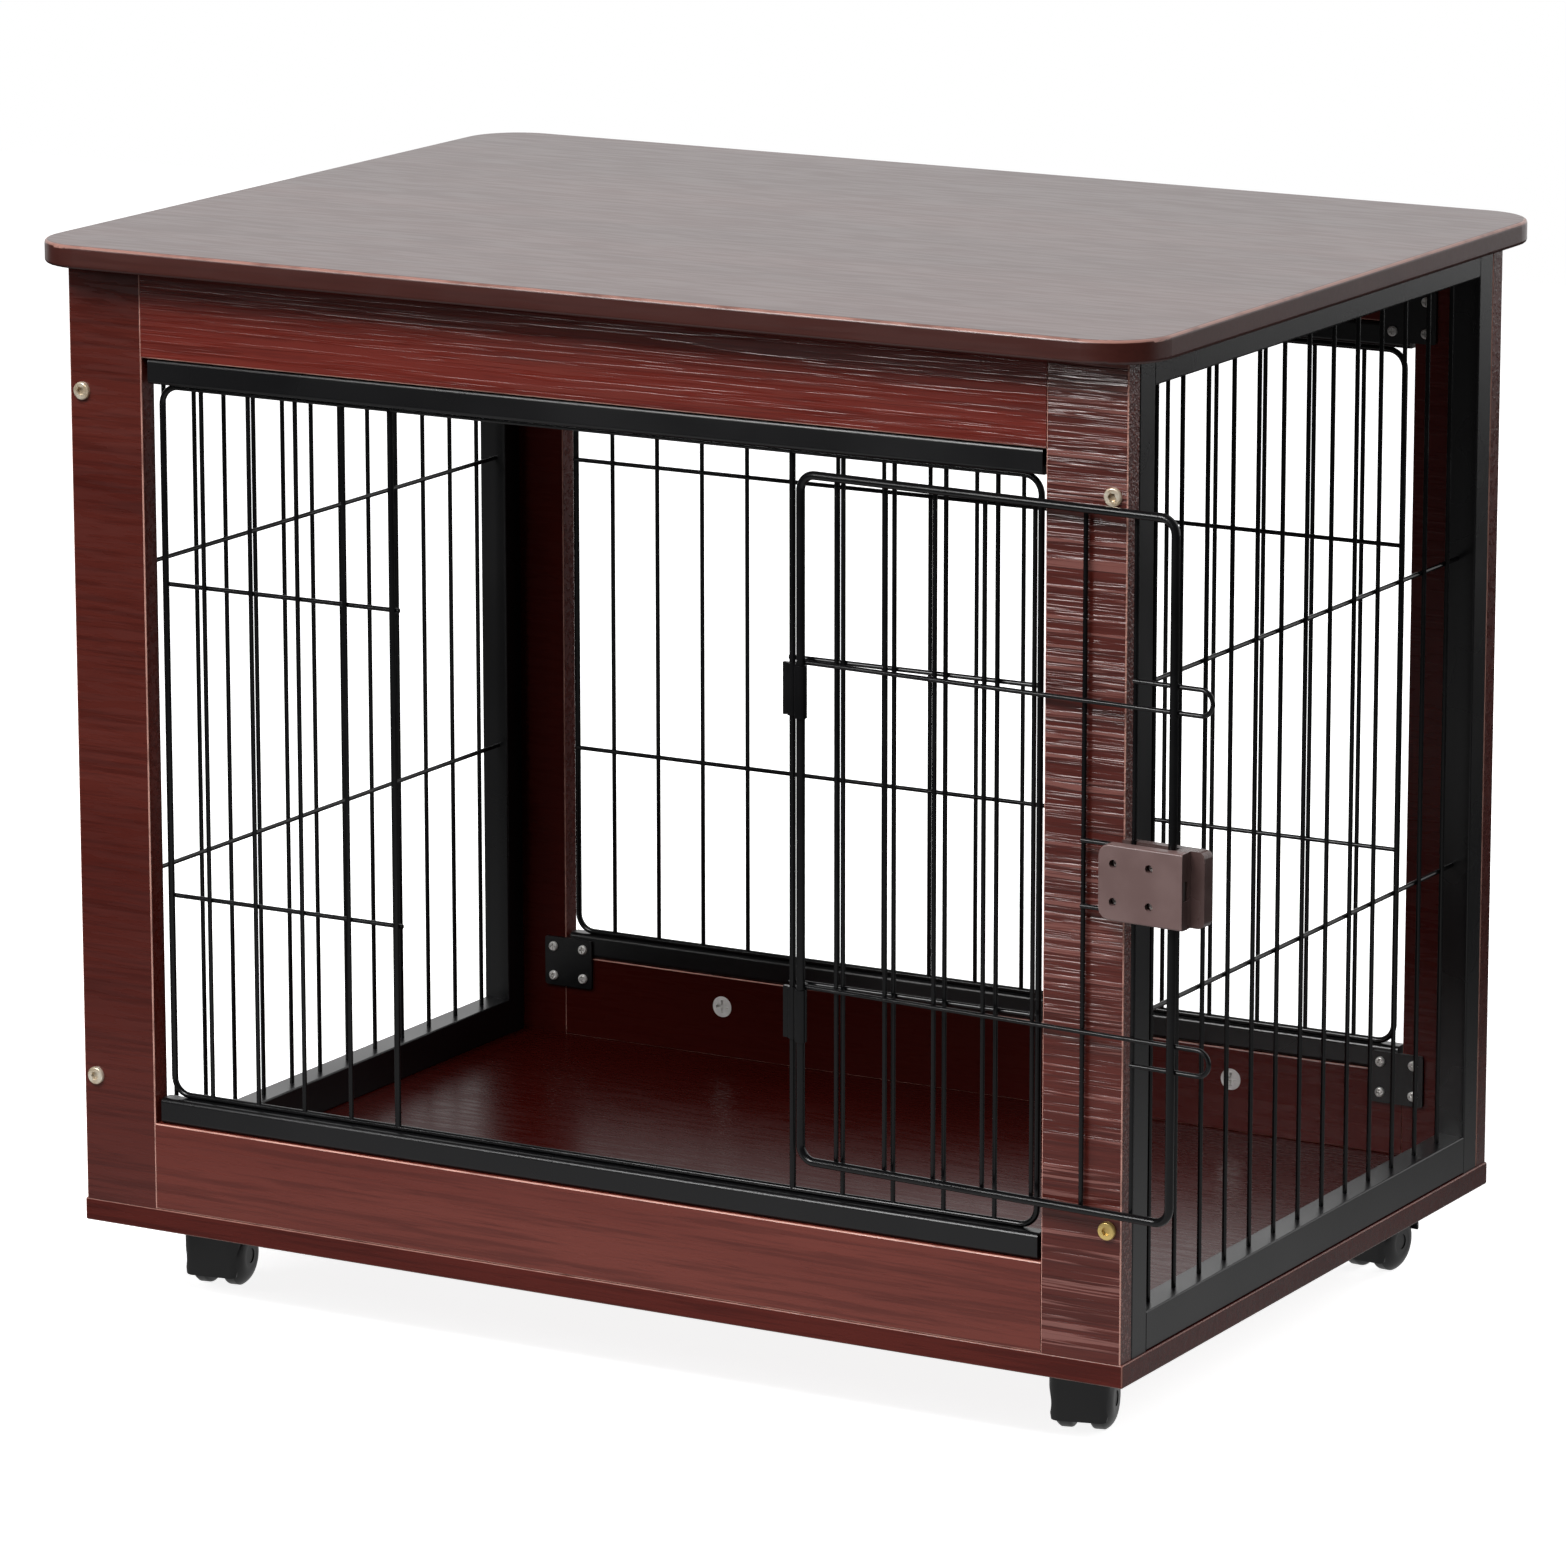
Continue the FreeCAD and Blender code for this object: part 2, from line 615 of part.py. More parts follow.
def latch_block(near, far, depths, half_height):
    """A block of the latch between two distances along the door and two depths, centred on its height."""
    low = (near, at_depth(depths[0]), LATCH_Z - half_height)
    high = (far, at_depth(depths[1]), LATCH_Z + half_height)
    return span_block(low, high)


def latch_screw_holes():
    """Clearance holes through the plate and the housing."""
    length = 2 * (PLATE_FRONT - SLAB_OUTER)
    return [rod(f"Dims.screw_radius + {SCREW_PLAY}", f"{length}", (x, 0, z), Y_AXIS) for x, z in LATCH_SCREWS]


def latch_plate():
    near = value("Dims.plate_near")
    far = value("Dims.plate_far")

    def draw(sketch):
        centred_rectangle(sketch, "Dims.plate_far - Dims.plate_near", "Dims.latch_height")

    body, pad = padded_body(draw, "XZ_Plane", f"{PLATE_FRONT - PLATE_BACK}")

    def near_corner(edge):
        return runs_along(Y_AXIS)(edge) and edge.CenterOfMass.x < 0

    corners = fillet_body(body, pad, "Dims.plate_corner", near_corner)
    face_y = corners.Shape.BoundBox.YMin
    end_x = corners.Shape.BoundBox.XMax

    def front_rim(edge):
        on_face = abs(edge.BoundBox.YMin - face_y) < 0.01 and abs(edge.BoundBox.YMax - face_y) < 0.01
        return on_face and edge.CenterOfMass.x < end_x - 0.01

    body.Tip = fillet_body(body, corners, "Dims.edge_round", front_rim)
    body.Placement.Base = FreeCAD.Vector((near + far) / 2, at_depth((PLATE_FRONT + PLATE_BACK) / 2), LATCH_Z)
    pocket_depths = (PLATE_BACK - 1, BOLT_BACK + value("Dims.bolt_thickness") + 0.2)
    pocket = latch_block(BOLT_NEAR - 1, far + 1, pocket_depths, value("Dims.bolt_height / 2") + 0.2)
    sockets = []
    for x, z in LATCH_SCREWS:
        middle = at_depth(PLATE_FRONT - SOCKET_DEPTH / 2)
        sockets.append(rod("Dims.latch_head_radius + 0.3", f"{SOCKET_DEPTH}", (x, middle, z), Y_AXIS))
    tools = [pocket] + [fuse([hole, socket]) for hole, socket in zip(latch_screw_holes(), sockets)]
    finish("latch_plate", cut(body, tools), DOOR_PLACE)


def latch_housing():
    near = value("Dims.housing_near")
    far = value("Dims.housing_far")
    half_height = value("Dims.latch_height / 2")
    end_block_near = value("Dims.door_far + Dims.door_wire / 2") + 0.6
    joined = SLAB_INNER - 1
    slab = latch_block(near, far, (SLAB_OUTER, SLAB_INNER), half_height)
    end_block = latch_block(end_block_near, MOUTH_WALL, (joined, PLATE_BACK - 0.1), half_height)
    lip = latch_block(end_block_near, far, (joined, LIP_INNER), half_height)
    whole = fuse([slab, end_block, lip])
    whole.Refine = True
    outer_y = at_depth(SLAB_OUTER)

    def far_corner(edge):
        return runs_along(Y_AXIS)(edge) and edge.CenterOfMass.x > far - 0.01

    def outer_rim(edge):
        return abs(edge.BoundBox.YMin - outer_y) < 0.01 and abs(edge.BoundBox.YMax - outer_y) < 0.01

    cornered = soften(whole, "Dims.housing_end_round", far_corner)
    rounded = soften(cornered, "Dims.housing_edge_round", outer_rim)
    upright = door_grid_x(6)
    upright_room = value("Dims.grid_wire / 2") + 0.4
    channel_depths = (UPRIGHT_DEPTH - upright_room, SLAB_INNER + 1)
    channel = latch_block(upright - upright_room, upright + upright_room, channel_depths, half_height + 5)
    play = 0.5
    slot_far = STEM_FAR + BOLT_TRAVEL + play
    slot_depths = (SLAB_OUTER - 1, SLAB_INNER + 1)
    slot = latch_block(STEM_NEAR - play, slot_far, slot_depths, STEM_HALF_HEIGHT + play)
    finish("latch_housing", cut(rounded, [channel, slot] + latch_screw_holes()), DOOR_PLACE)


def latch_bolt():
    """Flat bolt with a rounded tip, and a stem that passes between the door wires to the knob."""
    front = BOLT_BACK + value("Dims.bolt_thickness")
    half_height = value("Dims.bolt_height / 2")
    blade = latch_block(BOLT_NEAR, BOLT_TIP, (BOLT_BACK, front), half_height)
    tip_y = at_depth(front)

    def ramp_edge(edge):
        middle = edge.CenterOfMass
        return runs_along(Z_AXIS)(edge) and middle.x > BOLT_TIP - 0.01 and abs(middle.y - tip_y) < 0.01

    rounded = soften(blade, "Dims.bolt_thickness * 0.8", ramp_edge)
    stem = latch_block(STEM_NEAR, STEM_FAR, (KNOB_BACK, BOLT_BACK + 1), STEM_HALF_HEIGHT)
    finish("latch_bolt", fuse([rounded, stem]), DOOR_PLACE)


def latch_knob():
    """Thumb knob on the outer side, with three finger grooves."""
    near = STEM_NEAR - 4
    far = STEM_FAR + 4
    body = latch_block(near, far, (KNOB_BACK, KNOB_FRONT), KNOB_HALF_HEIGHT)
    outer_y = at_depth(KNOB_FRONT)

    def outer_edge(edge):
        return is_straight(edge) and abs(edge.CenterOfMass.y - outer_y) < 0.01

    rounded = soften(body, "Dims.edge_round", outer_edge)
    grooves = []
    for offset in (-3.5, 0.0, 3.5):
        middle = ((near + far) / 2 + offset, outer_y, LATCH_Z)
        grooves.append(rod("0.8", f"{2 * KNOB_HALF_HEIGHT + 2}", middle))
    finish("latch_knob", cut(rounded, grooves), DOOR_PLACE)


CROSS_ARM = 0.62
CROSS_HALF_WIDTH = 0.14


def cross_recess(radius, face, outward):
    """A cross-shaped driver recess in a screw head, as two thin blocks that reach just past the face."""
    x, y, z = face
    arm = radius * CROSS_ARM
    half = radius * CROSS_HALF_WIDTH
    deep = y - outward * radius * 0.35
    past = y + outward * 0.2
    return [
        span_block((x - arm, deep, z - half), (x + arm, past, z + half)),
        span_block((x - half, deep, z - arm), (x + half, past, z + arm)),
    ]


def cross_head_screw(face_place, outward, head_radius, head_height, shank_length):
    """A cross-head screw whose head stands outward along Y from a face."""
    x, y, z = face_place
    head = rod(head_radius, f"{head_height}", (x, y + outward * head_height / 2, z), Y_AXIS)
    top_y = y + outward * head_height

    def rim(edge):
        return not is_straight(edge) and abs(edge.CenterOfMass.y - top_y) < 0.01

    domed = soften(head, f"{head_height * 0.55}", rim)
    shank = rod("Dims.screw_radius", f"{shank_length}", (x, y - outward * shank_length / 2, z), Y_AXIS)
    recess = fuse(cross_recess(value(head_radius), (x, top_y, z), outward))
    return cut(fuse([domed, shank]), [recess])


def latch_screws():
    seat = PLATE_FRONT - SOCKET_DEPTH
    length = seat - SLAB_OUTER - 2
    screws = []
    for x, z in LATCH_SCREWS:
        screws.append(cross_head_screw((x, at_depth(seat), z), -1, "Dims.latch_head_radius", 1.8, length))
    finish("latch_screws", compound(screws), DOOR_PLACE)


# ---------------------------------------------------------------- fasteners of the frames

def corner_plates(prefix, end):
    plates = []
    for x, y, z in corner_plate_places(end):
        size = ("Dims.corner_plate_length", "Dims.corner_plate_thickness", "Dims.corner_plate_height")
        plate = soften(block(size, (x, y, z)), "Dims.edge_round * 1.5", runs_along(Y_AXIS))

        def on_plate(px, py, pz, x=x, z=z):
            half_length = value("Dims.corner_plate_length / 2")
            return abs(px - x) < half_length and abs(pz - z) < value("Dims.corner_plate_height / 2")

        places = [place for place in plate_screw_places(end) if on_plate(*place)]
        holes = [rod(PILOT, f"{SCREW_LENGTH}", place, Y_AXIS) for place in places]
        plates.append(cut(plate, holes))
    finish(f"{prefix}_corner_plates", compound(plates))


def corner_plate_screws():
    screws = []
    for end in (-1, 1):
        for place in plate_screw_places(end):
            screws.append(cross_head_screw(place, -end, "Dims.screw_head_radius", 1.8, SCREW_LENGTH - 0.5))
    finish("corner_plate_screws", compound(screws))


def frame_bolts():
    """Round-headed bolts with hex sockets that hold the stiles to the side posts."""
    head_height = 2.4
    socket_radius = 2.9
    socket_depth = 1.9
    shank = value("Dims.board") + 9
    bolts = []
    for end in (-1, 1):
        for x, y, z in frame_bolt_places(end):
            head = rod("Dims.bolt_head_radius", f"{head_height}", (x, y + end * head_height / 2, z), Y_AXIS)
            top_y = y + end * head_height

            def rim(edge, top_y=top_y):
                return not is_straight(edge) and abs(edge.CenterOfMass.y - top_y) < 0.01

            domed = soften(head, "1.0", rim)
            stem = rod("Dims.bolt_radius", f"{shank}", (x, y - end * shank / 2, z), Y_AXIS)
            socket = doc.addObject("Part::Prism", "socket")
            socket.Polygon = 6
            socket.Circumradius = socket_radius
            socket.Height = 2 * socket_depth
            turn = FreeCAD.Rotation(Z_AXIS, Y_AXIS * end)
            socket.Placement = FreeCAD.Placement(FreeCAD.Vector(x, top_y - end * socket_depth, z), turn)
            bolts.append(cut(fuse([domed, stem]), [socket]))
    finish("frame_bolts", compound(bolts))


def cam_locks():
    """Cams in the rails, each with a cross recess in its face."""
    play = 0.1
    cams = []
    for end in (-1, 1):
        for x, y, z in cam_places(end):
            middle = (x, y + end * value("Dims.cam_depth - 0.3") / 2, z)
            cam = rod(f"Dims.cam_radius - {play}", "Dims.cam_depth - 0.3", middle, Y_AXIS)
            recess = fuse(cross_recess(value("Dims.cam_radius"), (x, y, z), -end))
            cams.append(cut(cam, [recess]))
    finish("cam_locks", compound(cams))


def cam_dowels():
    pins = [pin for end in (-1, 1) for low in (True, False) for pin in dowels(0, end, low)]
    finish("cam_dowels", compound(pins))


# ---------------------------------------------------------------- casters
# Each caster is drawn with its swivel axis at x = 0, y = 0 and its axle along X, behind the swivel axis.

HOOD_TOP = value("Dims.caster_height - Dims.caster_plate_thickness") - 0.3
SKIRT_BOTTOM = 9.5
SKIRT_FRONT = -7.5
HOOD_ROUND = 9.0
HOOD_WIDEST = 30.0
PIN_REACH = 20.0
COUNTERSINK = 1.8


def hood_outline(sketch):
    """Side view of the hood: a skirt in front, a round shoulder, a flat top and a curve over the wheels."""
    tail = value("Dims.trail + Dims.wheel_radius") + 2
    points = {
        "skirt": (SKIRT_FRONT, SKIRT_BOTTOM),
        "shoulder": (SKIRT_FRONT, HOOD_TOP - HOOD_ROUND),
        "front_top": (SKIRT_FRONT + HOOD_ROUND, HOOD_TOP),
        "back_top": (13.0, HOOD_TOP),
        "tail": (tail, 24.0),
    }
    spot = {name: FreeCAD.Vector(y, z, 0) for name, (y, z) in points.items()}
    slant = HOOD_ROUND * (1 - math.sqrt(0.5))
    shoulder_middle = FreeCAD.Vector(SKIRT_FRONT + slant, HOOD_TOP - slant, 0)
    back_middle = FreeCAD.Vector(tail - 6.5, 41.5, 0)
    edges = [
        Part.LineSegment(spot["skirt"], spot["shoulder"]),
        Part.Arc(spot["shoulder"], shoulder_middle, spot["front_top"]),
        Part.LineSegment(spot["front_top"], spot["back_top"]),
        Part.Arc(spot["back_top"], back_middle, spot["tail"]),
        Part.LineSegment(spot["tail"], spot["skirt"]),
    ]
    sketch.addGeometry(edges, False)


def barrel_sides(body):
    """Bow the hood's sides outwards: what it shares with two large cylinders that lie along Y."""
    radius = value("Dims.hood_barrel")
    offset = radius - value("Dims.hood_width / 2")
    middle_y = value("Dims.trail")
    length = 4 * value("Dims.wheel_radius")
    bows = []
    for side in (-1, 1):
        bows.append(rod("Dims.hood_barrel", f"{length}", (side * offset, middle_y, HOOD_WIDEST), Y_AXIS))
    barrel = doc.addObject("Part::MultiCommon", "barrel")
    barrel.Shapes = [body] + bows
    return barrel


def caster_hood():
    body, pad = padded_body(hood_outline, "YZ_Plane", "Dims.hood_width")

    def front_side_edge(edge):
        at_front = edge.CenterOfMass.y < SKIRT_FRONT + 4 and edge.CenterOfMass.z > SKIRT_BOTTOM + 1
        return at_front and not runs_along(X_AXIS)(edge)

    body.Tip = fillet_body(body, pad, "Dims.hood_side_round", front_side_edge)
    axle = (value("Dims.trail"), value("Dims.wheel_radius"))
    cavities = []
    for side in (-1, 1):
        length = "Dims.hood_width / 2"
        middle = side * (value("Dims.wheel_inner") - 0.3 + value(length) / 2)
        cavities.append(rod("Dims.wheel_radius + 0.9", length, (middle, *axle), X_AXIS))
    bore_depth = PIN_REACH + 1
    bore = rod("Dims.pin_radius + Dims.running_play", f"{bore_depth}", (0, 0, HOOD_TOP - bore_depth / 2))
    axle_hole = rod("Dims.axle_radius", "Dims.hood_width", (0, *axle), X_AXIS)
    return cut(barrel_sides(body), [fuse(cavities + [axle_hole]), bore])


def countersunk_screw(x, y, play):
    """A screw that goes up into the base board, its conical head flush with the caster plate's underside."""
    bottom = BASE - value("Dims.caster_plate_thickness")
    head = doc.addObject("Part::Cone", "head")
    bind(head, Radius1=f"Dims.screw_head_radius + {play}", Radius2=f"Dims.screw_radius + {play}")
    head.Height = COUNTERSINK
    head.Placement.Base = FreeCAD.Vector(x, y, bottom)
    middle = (x, y, bottom + CASTER_SCREW_LENGTH / 2)
    shank = rod(f"Dims.screw_radius + {play}", f"{CASTER_SCREW_LENGTH}", middle)
    return fuse([head, shank])


def caster_plate():
    """Square plate under the board, and the pin riveted into it that the hood turns on."""
    thickness = "Dims.caster_plate_thickness"
    size = ("Dims.caster_plate", "Dims.caster_plate", thickness)
    square = block(size, (0, 0, BASE - value(thickness) / 2))
    rounded = soften(square, "Dims.caster_plate_corner", runs_along(Z_AXIS))
    length = PIN_REACH + value(thickness)
    pin = rod("Dims.pin_radius", f"{length}", (0, 0, BASE - length / 2))
    rivet_hole = rod("Dims.pin_radius", f"{thickness} * 2", (0, 0, BASE - value(thickness) / 2))
    holes = [countersunk_screw(x, y, 0.1) for x, y in caster_screw_offsets()]
    return compound([cut(rounded, holes + [rivet_hole]), pin])


def caster_screws():
    """All the screws of the four caster plates."""
    bottom = BASE - value("Dims.caster_plate_thickness")
    arm = value("Dims.screw_head_radius") * CROSS_ARM
    half = value("Dims.screw_head_radius") * CROSS_HALF_WIDTH
    screws = []
    for side, end, _ in CASTERS.values():
        for x, y in caster_screw_offsets():
            point = swivel_point(side, end) + FreeCAD.Vector(x, y, 0)
            recess = [
                span_block((point.x - a, point.y - b, bottom - 0.2), (point.x + a, point.y + b, bottom + 1.2))
                for a, b in ((arm, half), (half, arm))
            ]
            screws.append(cut(countersunk_screw(point.x, point.y, 0), [fuse(recess)]))
    finish("caster_screws", compound(screws))


def caster_axle():
    middle = (0, value("Dims.trail"), value("Dims.wheel_radius"))
    return rod("Dims.axle_radius", "2 * (Dims.wheel_inner + Dims.wheel_width - 2)", middle, X_AXIS)


def wheel_outline(sketch):
    """Half section of a wheel: blind bore, flat inner face, round tread edges and a domed outer face."""
    inner = value("Dims.wheel_inner")
    outer = inner + value("Dims.wheel_width")
    radius = value("Dims.wheel_radius")
    bore = value("Dims.axle_radius + Dims.running_play")
    bore_end = outer - 1.5
    inner_round = 2.5
    slant = inner_round * (1 - math.sqrt(0.5))
    dome_width = 6.0
    dome_start = 8.0
    hub_radius = 5.0
    hub_depth = 0.6
    points = [
        (bore_end, 0), (bore_end, bore), (inner, bore), (inner, radius - inner_round),
        (inner + inner_round, radius), (outer - dome_width, radius), (outer, dome_start),
        (outer, hub_radius), (outer - hub_depth, hub_radius), (outer - hub_depth, 0),
    ]
    arc_middles = {3: (inner + slant, radius - slant), 5: (outer - 1.2, 14.9)}
    spots = [FreeCAD.Vector(x, y, 0) for x, y in points]
    edges = []
    for number, (start, end) in enumerate(zip(spots, spots[1:] + spots[:1])):
        if number in arc_middles:
            edges.append(Part.Arc(start, FreeCAD.Vector(*arc_middles[number], 0), end))
        else:
            edges.append(Part.LineSegment(start, end))
    sketch.addGeometry(edges, False)


def caster_wheel(side):
    body = doc.addObject("PartDesign::Body", "body")
    sketch = new_sketch(body, "XY_Plane")
    wheel_outline(sketch)
    revolution = body.newObject("PartDesign::Revolution", "revolution")
    revolution.Profile = sketch
    revolution.ReferenceAxis = (sketch, ["H_Axis"])
    revolution.Angle = 360
    body.Tip = revolution
    axle = FreeCAD.Vector(0, value("Dims.trail"), value("Dims.wheel_radius"))
    turn = FreeCAD.Rotation(Z_AXIS, 0 if side > 0 else 180)
    body.Placement = FreeCAD.Placement(axle, turn)
    return body


def casters():
    for name, (side, end, angle) in CASTERS.items():
        point = swivel_point(side, end)
        finish(f"caster_plate_{name}", caster_plate(), FreeCAD.Placement(point, FreeCAD.Rotation()))
        place = FreeCAD.Placement(point, FreeCAD.Rotation(Z_AXIS, angle))
        finish(f"caster_hood_{name}", caster_hood(), place)
        finish(f"caster_axle_{name}", caster_axle(), place)
        finish(f"caster_wheel_{name}_inner", caster_wheel(-side), place)
        finish(f"caster_wheel_{name}_outer", caster_wheel(side), place)


# ---------------------------------------------------------------- build, check and write

table_top()
base_board()
for frame_name, frame_end in (("front", -1), ("back", 1)):
    wooden_frame(frame_name, frame_end)
    corner_plates(frame_name, frame_end)
front_wire_panel()
back_wire_panel()
side_frame("left_side", -1)
side_frame("right_side", 1)
door_wire_panel()
hinge_clips()
latch_plate()
latch_housing()
latch_bolt()
latch_knob()
latch_screws()
corner_plate_screws()
frame_bolts()
cam_locks()
cam_dowels()
casters()
caster_screws()
doc.recompute()

for thing in doc.Objects:
    if "Invalid" in thing.State or "Error" in thing.State:
        raise RuntimeError(f"{thing.Label} ({thing.Name}) failed: {thing.State}")
os.makedirs("parts", exist_ok=True)
for piece in pieces:
    shape = piece.Shape
    if shape.isNull() or not shape.isValid():
        raise RuntimeError(f"{piece.Label} has no valid shape")
    shape.exportStep(f"parts/{piece.Label}.step")
print(len(pieces), "sub-parts written")
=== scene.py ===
import math
from collections import namedtuple
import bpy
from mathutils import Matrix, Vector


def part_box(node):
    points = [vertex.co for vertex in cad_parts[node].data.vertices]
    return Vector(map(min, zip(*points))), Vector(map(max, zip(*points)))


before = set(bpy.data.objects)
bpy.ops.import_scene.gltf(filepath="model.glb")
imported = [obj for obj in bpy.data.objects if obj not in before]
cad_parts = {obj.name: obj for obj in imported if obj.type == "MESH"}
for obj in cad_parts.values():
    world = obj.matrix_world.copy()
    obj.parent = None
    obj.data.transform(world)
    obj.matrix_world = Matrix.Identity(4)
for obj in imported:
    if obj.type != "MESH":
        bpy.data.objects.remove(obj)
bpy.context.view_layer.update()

from fnmatch import fnmatch

import bpy
from mathutils import Euler, Vector

# The looks of a dog crate that doubles as an end table.
# Metres, in the crate's own frame: X right, Y back, Z up. Colours are linear.
# Every texture is laid out in object coordinates, so its scale is in cycles per metre.

MM = 0.001
WHITE = (1, 1, 1, 1)


# ---------------------------------------------------------------- node helpers

class Nodes:
    """A node tree, with short calls that add nodes to it and link them."""

    def __init__(self, tree):
        self.tree = tree

    def add(self, kind, **settings):
        node = self.tree.nodes.new(kind)
        for key, setting in settings.items():
            setattr(node, key, setting)
        return node

    def feed(self, socket, source):
        """Put a number, a colour or another node's output into a socket."""
        if isinstance(source, bpy.types.NodeSocket):
            self.tree.links.new(source, socket)
        else:
            socket.default_value = source

    def split(self, vector):
        """The X, Y and Z of a vector, as outputs to look up by those names."""
        node = self.add("ShaderNodeSeparateXYZ")
        self.feed(node.inputs["Vector"], vector)
        return node.outputs

    def distance(self, vector, point):
        """How far a vector is from a fixed point."""
        node = self.add("ShaderNodeVectorMath", operation="DISTANCE")
        self.feed(node.inputs[0], vector)
        self.feed(node.inputs[1], point)
        return node.outputs["Value"]

    def math(self, operation, first, second):
        node = self.add("ShaderNodeMath", operation=operation)
        self.feed(node.inputs[0], first)
        self.feed(node.inputs[1], second)
        return node.outputs["Value"]

    def ramp(self, source, low, high, out_low=0.0, out_high=1.0):
        """Map a value between two limits smoothly to another pair of values."""
        node = self.add("ShaderNodeMapRange", interpolation_type="SMOOTHSTEP")
        for socket, number in zip(node.inputs, (source, low, high, out_low, out_high)):
            self.feed(socket, number)
        return node.outputs["Result"]

    def mix(self, amount, first, second):
        """Mix two colours."""
        node = self.add("ShaderNodeMix", data_type="RGBA")
        self.feed(node.inputs["Factor"], amount)
        self.feed(node.inputs["A"], first)
        self.feed(node.inputs["B"], second)
        return node.outputs["Result"]


class Shader(Nodes):
    """A new material with a Principled shader, and calls for its textures, its relief and its last links."""

    def __init__(self, name):
        self.material = bpy.data.materials.new(name)
        self.material.use_nodes = True
        super().__init__(self.material.node_tree)
        self.sockets = self.tree.nodes["Principled BSDF"].inputs
        self.coordinates = self.add("ShaderNodeTexCoord").outputs

    def place(self):
        """X, Y and Z of the point on the surface."""
        return self.split(self.coordinates["Object"])

    def facing(self):
        """X, Y and Z of the surface's normal."""
        return self.split(self.coordinates["Normal"])

    def noise(self, cycles, detail=2.0, roughness=0.5, distortion=0.0):
        """Noise from 0 to 1. Cycles per metre are three numbers, one for each axis, or one for all."""
        if not isinstance(cycles, tuple):
            cycles = (cycles, cycles, cycles)
        mapping = self.add("ShaderNodeMapping")
        mapping.inputs["Scale"].default_value = cycles
        self.feed(mapping.inputs["Vector"], self.coordinates["Object"])
        node = self.add("ShaderNodeTexNoise")
        node.inputs["Scale"].default_value = 1.0
        node.inputs["Detail"].default_value = detail
        node.inputs["Roughness"].default_value = roughness
        node.inputs["Distortion"].default_value = distortion
        self.feed(node.inputs["Vector"], mapping.outputs["Vector"])
        return node.outputs["Fac"]

    def bump(self, height, distance, under=None):
        """A normal bent by a height from 0 to 1 times a distance, on top of another relief if given."""
        node = self.add("ShaderNodeBump")
        node.inputs["Strength"].default_value = 1.0
        node.inputs["Distance"].default_value = distance
        self.feed(node.inputs["Height"], height)
        if under is not None:
            self.feed(node.inputs["Normal"], under)
        return node.outputs["Normal"]

    def finish(self, colour, roughness, normal=None):
        """Link the surface's colour, roughness and relief, and hand back the material."""
        self.feed(self.sockets["Base Color"], colour)
        self.feed(self.sockets["Roughness"], roughness)
        if normal is not None:
            self.feed(self.sockets["Normal"], normal)
        return self.material


# ---------------------------------------------------------------- laminate

DARK_GRAIN = (0.036, 0.0040, 0.0026)
MIDDLE_GRAIN = (0.072, 0.0100, 0.0066)
LIGHT_GRAIN = (0.102, 0.0180, 0.0125)
# Painted highlight: the pale pink of the ridges' tops, in place of the glints of light on them
RIDGE_GLINT = (0.34, 0.15, 0.13, 1)
# The pale line on rounded edges: partly wear, partly painted highlight
WORN_AND_LIT_EDGE = (0.62, 0.33, 0.27, 1)
EDGE_TO_FACE = (0.93, 0.97)         # the largest part of a normal, where an edge ends and where a face starts

WAVY = (24, 230, 230)               # cycles per metre of the pressed ridges: short and wavy,
EMBOSSED = (9, 440, 440)            # or long and closely spaced
RIDGE_SIDE = (0.42, 0.62)           # levels of the ridges' noise at the foot and at the top of a side
RIDGE_GLINT_LEVELS = (0.54, 0.64)          # levels of the ridges' noise between which their tops get a painted highlight
FAINT_RIDGES = 0.30                 # height of the ridges low on a board, as a share of their height above

SHADE_TINT = (1, 0.5, 0.5)          # shaded wood keeps half as much of its green and blue as of its red
SHADE_DEPTH = 0.92                  # share of the shade's colour in a shaded face
SHADE_SPECULAR = (0.04, 0.20)       # at the crate's left and right
SHADE_LEFT_TO_RIGHT = (-0.05, 0.25)     # X where the shade starts to lift and where it is lightest
SHADE_TURN = (0.75, 0.95)           # part of the normal along the shade's axis, from unshaded to shaded

# The faces of a board that look along an axis in a direction, 1 or -1, and how bright they are in the crate's
# shade, at its left and at its right.
Shade = namedtuple("Shade", "axis direction at_left at_right")


def tinted(colour, *tones):
    """A colour with its three parts scaled by each tone in turn, and opaque."""
    for lighting_tone in tones:
        colour = tuple(part * share for part, share in zip(colour, lighting_tone))
    return colour + (1,)


def edge_mask(shader):
    """1 on the rounded edges of a board, whose normals lie between two faces, and 0 on its faces."""
    absolute = shader.add("ShaderNodeVectorMath", operation="ABSOLUTE")
    shader.feed(absolute.inputs[0], shader.coordinates["Normal"])
    facing = shader.split(absolute.outputs["Vector"])
    largest = shader.math("MAXIMUM", facing["X"], facing["Y"])
    largest = shader.math("MAXIMUM", largest, facing["Z"])
    return shader.ramp(largest, *EDGE_TO_FACE, 1.0, 0.0)


def upper_edge_mask(shader):
    """1 on the rounded upper edge of the table top, and 0 on its faces and its round corners."""
    # Only the upper edge is pale, because the lower one lies in shade: a painted highlight
    upward = shader.facing()["Z"]
    leaning = shader.ramp(upward, 0.25, 0.45)
    level = shader.ramp(upward, 0.90, 0.97)
    return shader.math("SUBTRACT", leaning, level)


